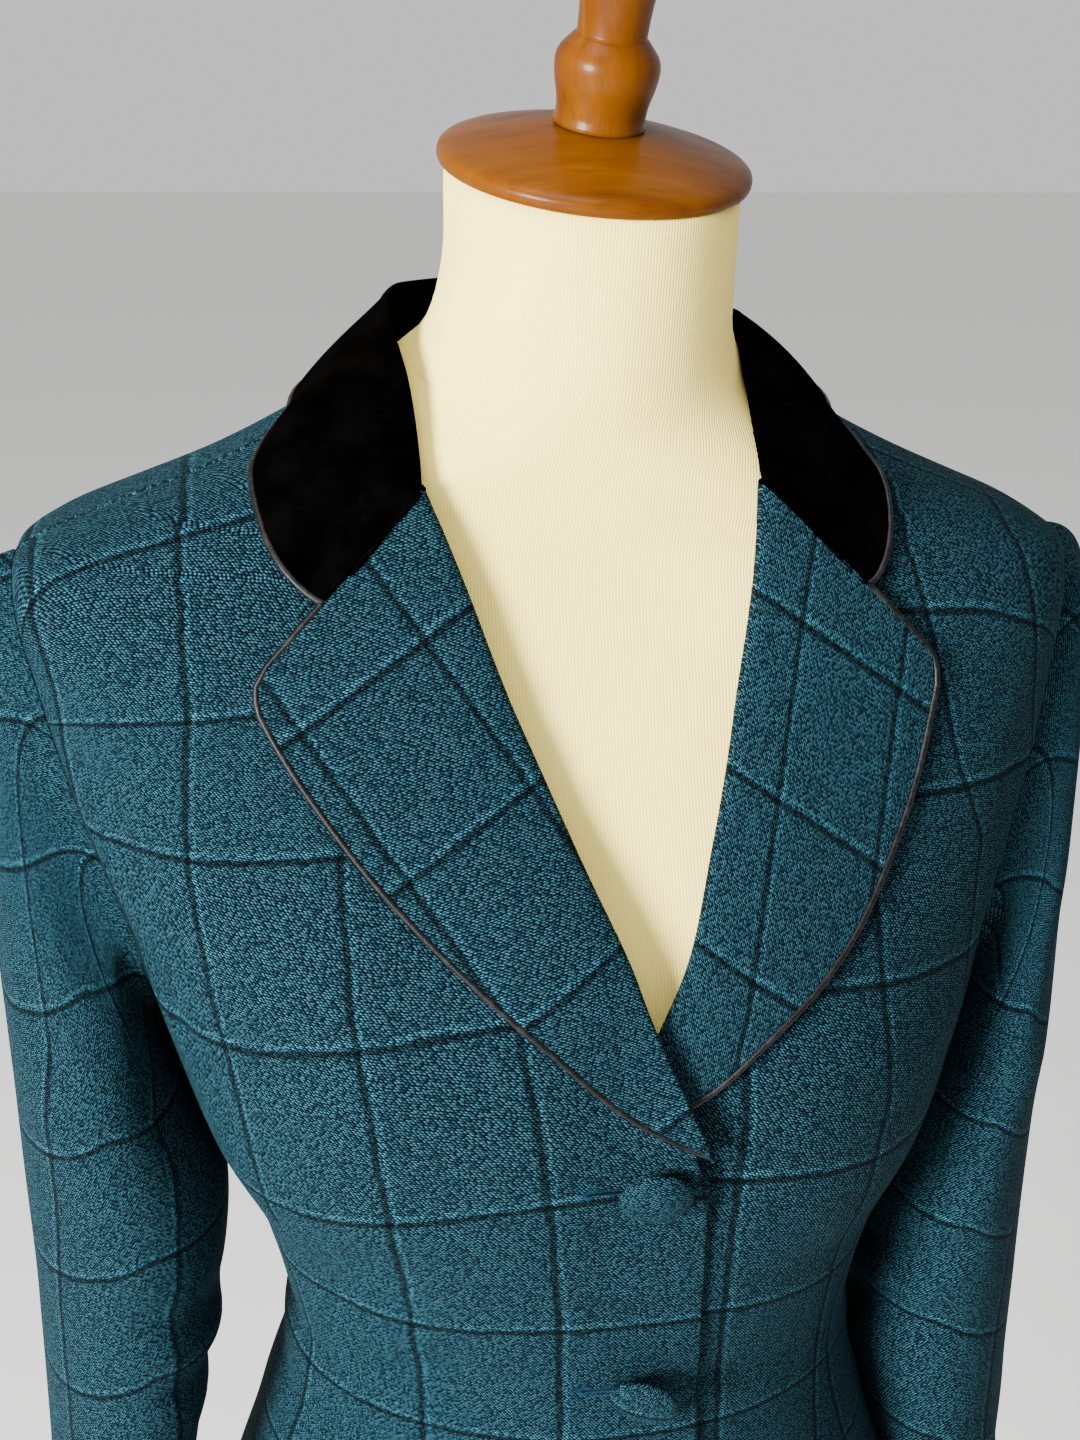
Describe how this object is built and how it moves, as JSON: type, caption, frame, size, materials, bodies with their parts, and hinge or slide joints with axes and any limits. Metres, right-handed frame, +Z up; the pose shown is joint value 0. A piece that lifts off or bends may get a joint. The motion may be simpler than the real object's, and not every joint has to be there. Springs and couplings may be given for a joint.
{
  "type": "equestrian show coat on a limbless dress form",
  "caption": "Fitted show coat with notched lapels, velvet collar, dark piping and covered buttons, worn on a limbless dress form that stands on a turned wooden base.",
  "frame": {"origin": "centre of the underside of the stand's base, on the floor", "axes": "+Z up, -Y towards the coat's front, +X towards the wearer's left"},
  "size_m": [0.4708, 0.3382, 1.5321],
  "materials": {
    "teal_check_cloth": "matt teal hopsack wool with a fine windowpane check",
    "black_velvet": "black velvet",
    "dark_piping": "dark brown-black leather-like cord, low sheen",
    "cream_jersey": "cream ribbed cotton jersey",
    "honey_wood": "honey-brown varnished wood"
  },
  "bodies": {
    "root": {"front_left": "teal_check_cloth", "side_left": "teal_check_cloth", "back_left": "teal_check_cloth", "lapel_left": "teal_check_cloth", "top_sleeve_left": "teal_check_cloth", "under_sleeve_left": "teal_check_cloth", "lapel_piping_left": "dark_piping", "front_right": "teal_check_cloth", "side_right": "teal_check_cloth", "back_right": "teal_check_cloth", "lapel_right": "teal_check_cloth", "top_sleeve_right": "teal_check_cloth", "under_sleeve_right": "teal_check_cloth", "lapel_piping_right": "dark_piping", "collar": "black_velvet", "collar_piping": "dark_piping", "button_1": "teal_check_cloth", "button_2": "teal_check_cloth", "button_3": "teal_check_cloth", "form_torso": "cream_jersey", "neck_cap": "honey_wood", "finial": "honey_wood", "stand_base": "honey_wood", "stand_pole": "honey_wood"}
  },
  "joints": []
}
